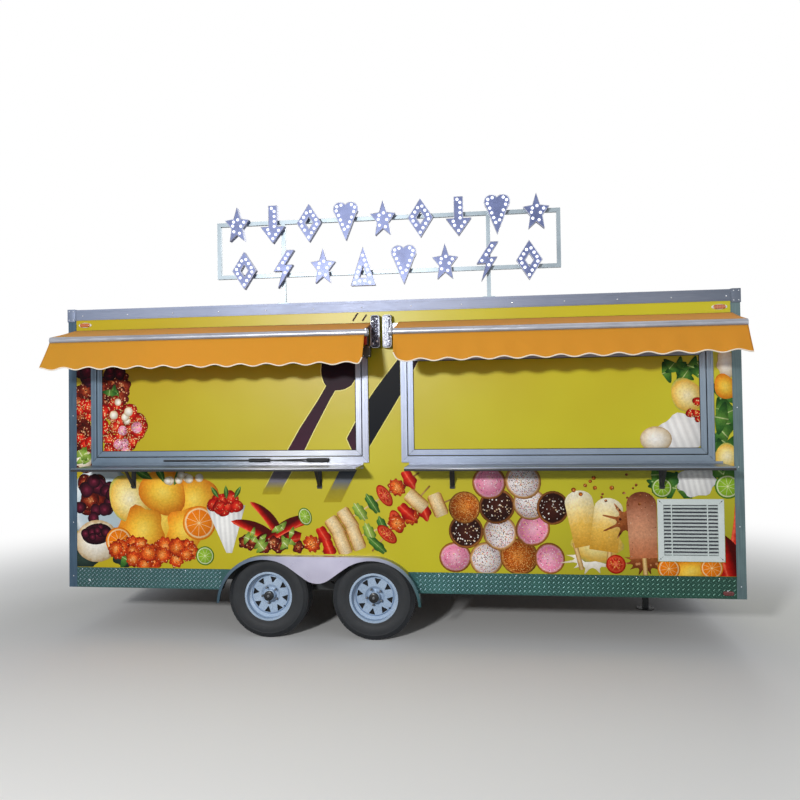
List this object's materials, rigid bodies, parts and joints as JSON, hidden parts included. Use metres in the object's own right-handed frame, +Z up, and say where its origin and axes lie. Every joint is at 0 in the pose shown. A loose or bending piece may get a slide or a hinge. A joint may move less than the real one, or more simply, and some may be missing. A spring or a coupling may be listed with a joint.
{
  "type": "food trailer",
  "caption": "Tandem-axle serving trailer with two lift-up hatches over folding shelves, short awnings, a bulb-lit roof sign and a rear entry door.",
  "frame": {"origin": "on the ground, under the middle of the overall box", "axes": "+X towards the towing end, +Y away from the serving side, +Z up; the serving side faces -Y"},
  "size_m": [5.637, 3.008, 3.615],
  "materials": {
    "frame_steel": "satin black chassis paint",
    "deck_plywood": "phenolic faced plywood",
    "box_aluminium": "mill finish sheet",
    "printed_panel": "glass fibre panel with a printed film",
    "roof_skin": "white glass fibre skin",
    "trim_aluminium": "extruded, satin anodised",
    "awning_fabric": "woven acrylic awning cloth",
    "cast_bracket": "rough cast",
    "shelf_steel": "brushed stainless steel",
    "black_fittings": "black powder coat",
    "tread_plate": "raised tread plate",
    "fender_aluminium": "bright smooth sheet",
    "sign_tube": "silver paint",
    "sign_letterbox": "blue-grey paint",
    "vent_plastic": "white moulded louvre",
    "amber_lens": "amber lens",
    "red_lens": "red lens",
    "door_skin": "glass fibre door skin",
    "tyre_rubber": "vulcanised rubber",
    "wheel_enamel": "white enamel"
  },
  "bodies": {
    "trailer": {"awning_brackets": "cast_bracket", "awning_cloth_front": "awning_fabric", "awning_cloth_rear": "awning_fabric", "awning_frame_front": "trim_aluminium", "awning_frame_rear": "trim_aluminium", "axle_front": "frame_steel", "axle_rear": "frame_steel", "corner_posts": "trim_aluminium", "cross_members": "frame_steel", "door_frame": "trim_aluminium", "drawbar_sockets": "frame_steel", "fender_far": "fender_aluminium", "fender_serving": "fender_aluminium", "floor_deck": "deck_plywood", "front_leg": "frame_steel", "leaf_springs": "frame_steel", "lock_bar": "black_fittings", "louvre_vent": "vent_plastic", "main_rails": "frame_steel", "marker_lamps": "amber_lens", "rim_frame": "frame_steel", "roof_panel": "roof_skin", "roof_rails": "trim_aluminium", "shelf_rails": "trim_aluminium", "sign_frame": "sign_tube", "sign_shapes": "sign_letterbox", "skirts": "tread_plate", "strut_plates": "black_fittings", "tail_lamps": "red_lens", "wall_far": "printed_panel", "wall_front": "printed_panel", "wall_rear": "printed_panel", "wall_serving": "printed_panel", "wheel_boxes": "box_aluminium", "window_frame_front": "trim_aluminium", "window_frame_rear": "trim_aluminium"},
    "rear_hatch": {"hatch_frame_rear": "trim_aluminium", "hatch_panel_rear": "printed_panel"},
    "front_hatch": {"hatch_frame_front": "trim_aluminium", "hatch_panel_front": "printed_panel"},
    "rear_shelf": {"shelf_rear": "shelf_steel"},
    "front_shelf": {"shelf_front": "shelf_steel"},
    "rear_struts": {"shelf_struts_rear": "black_fittings"},
    "front_struts": {"shelf_struts_front": "black_fittings"},
    "door": {"entry_door": "door_skin"},
    "wheel_rear_serving": {"tyre_rear_serving": "tyre_rubber", "rim_rear_serving": "wheel_enamel"},
    "wheel_rear_far": {"tyre_rear_far": "tyre_rubber", "rim_rear_far": "wheel_enamel"},
    "wheel_front_serving": {"tyre_front_serving": "tyre_rubber", "rim_front_serving": "wheel_enamel"},
    "wheel_front_far": {"tyre_front_far": "tyre_rubber", "rim_front_far": "wheel_enamel"}
  },
  "joints": [
    {"name": "wheel_rear_serving_spin", "type": "hinge", "parent": "trailer", "child": "wheel_rear_serving", "pos_m": [-0.9965, -0.8795, 0.344], "axis": [0, 1, 0], "continuous": true},
    {"name": "wheel_rear_far_spin", "type": "hinge", "parent": "trailer", "child": "wheel_rear_far", "pos_m": [-0.9965, 1.2955, 0.344], "axis": [0, 1, 0], "continuous": true},
    {"name": "wheel_front_serving_spin", "type": "hinge", "parent": "trailer", "child": "wheel_front_serving", "pos_m": [-0.1005, -0.8795, 0.344], "axis": [0, 1, 0], "continuous": true},
    {"name": "wheel_front_far_spin", "type": "hinge", "parent": "trailer", "child": "wheel_front_far", "pos_m": [-0.1005, 1.2955, 0.344], "axis": [0, 1, 0], "continuous": true},
    {"name": "rear_hatch_lift", "type": "hinge", "parent": "trailer", "child": "rear_hatch", "pos_m": [-1.329, -1.04, 2.341], "axis": [-1, 0, 0], "range_deg": [0, 72]},
    {"name": "rear_shelf_fold", "type": "hinge", "parent": "trailer", "child": "rear_shelf", "pos_m": [-1.329, -1.05, 1.431], "axis": [1, 0, 0], "range_deg": [0, 90]},
    {"name": "rear_strut_swing", "type": "hinge", "parent": "trailer", "child": "rear_struts", "pos_m": [-1.329, -1.027, 1.27], "axis": [1, 0, 0], "range_deg": [0, 138.88]},
    {"name": "front_hatch_lift", "type": "hinge", "parent": "trailer", "child": "front_hatch", "pos_m": [1.3765, -1.04, 2.341], "axis": [-1, 0, 0], "range_deg": [0, 72]},
    {"name": "front_shelf_fold", "type": "hinge", "parent": "trailer", "child": "front_shelf", "pos_m": [1.3765, -1.05, 1.431], "axis": [1, 0, 0], "range_deg": [0, 90]},
    {"name": "front_strut_swing", "type": "hinge", "parent": "trailer", "child": "front_struts", "pos_m": [1.3765, -1.027, 1.27], "axis": [1, 0, 0], "range_deg": [0, 138.88]},
    {"name": "door_swing", "type": "hinge", "parent": "trailer", "child": "door", "pos_m": [-2.7745, 0.644, 1.56], "axis": [0, 0, -1], "range_deg": [0, 105]}
  ],
  "couplings": [
    {"joint": "rear_strut_swing", "follows": "rear_shelf_fold", "ratio": 1.5375},
    {"joint": "front_strut_swing", "follows": "front_shelf_fold", "ratio": 1.5375}
  ]
}
